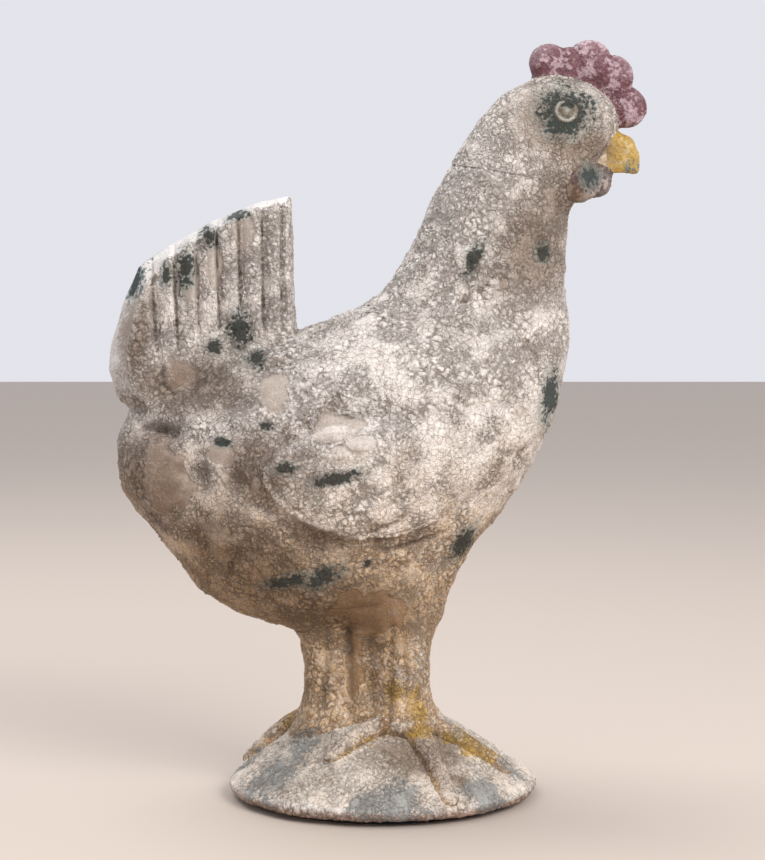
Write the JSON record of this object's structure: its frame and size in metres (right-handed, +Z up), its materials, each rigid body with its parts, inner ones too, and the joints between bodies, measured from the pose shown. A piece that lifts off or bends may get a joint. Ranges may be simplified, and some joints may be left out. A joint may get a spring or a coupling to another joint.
{
  "type": "garden hen statue",
  "caption": "Free-standing cast hen ornament with a ribbed upright tail, folded wings, a lobed comb and a round domed base.",
  "frame": {"origin": "centre of the round underside that the ornament rests on", "axes": "+X forward, the way the beak points; +Y towards the bird's left side; +Z up"},
  "size_m": [0.3079, 0.178, 0.4324],
  "materials": {
    "aged_cement": "crackled off-white limewash over taupe grey cement, rough and flaking",
    "base_paint": "worn off-white and slate blue paint over cement",
    "comb_paint": "worn burgundy paint with pale chips",
    "wattle_paint": "near-black teal paint worn to dull red on the edges",
    "beak_paint": "worn ochre yellow paint",
    "leg_paint": "mustard paint showing through flaking limewash",
    "eye_paint": "dark teal paint, worn grey on the ring",
    "armature_steel": "mild steel rod, lightly rusted",
    "felt": "dark pressed felt"
  },
  "bodies": {
    "root": {"base_mound": "base_paint", "felt_disc": "felt", "leg_web": "aged_cement", "right_leg": "leg_paint", "left_leg": "leg_paint", "right_foot": "leg_paint", "left_foot": "leg_paint", "right_leg_rod": "armature_steel", "left_leg_rod": "armature_steel", "body_shell": "aged_cement", "right_wing": "aged_cement", "left_wing": "aged_cement", "tail_fan": "aged_cement", "tail_pins": "armature_steel", "neck_shell": "aged_cement", "neck_rod": "armature_steel", "head": "aged_cement", "comb": "comb_paint", "upper_beak": "beak_paint", "lower_beak": "beak_paint", "right_wattle": "wattle_paint", "left_wattle": "wattle_paint", "right_eye_ring": "eye_paint", "left_eye_ring": "eye_paint", "right_eye": "eye_paint", "left_eye": "eye_paint"}
  },
  "joints": []
}
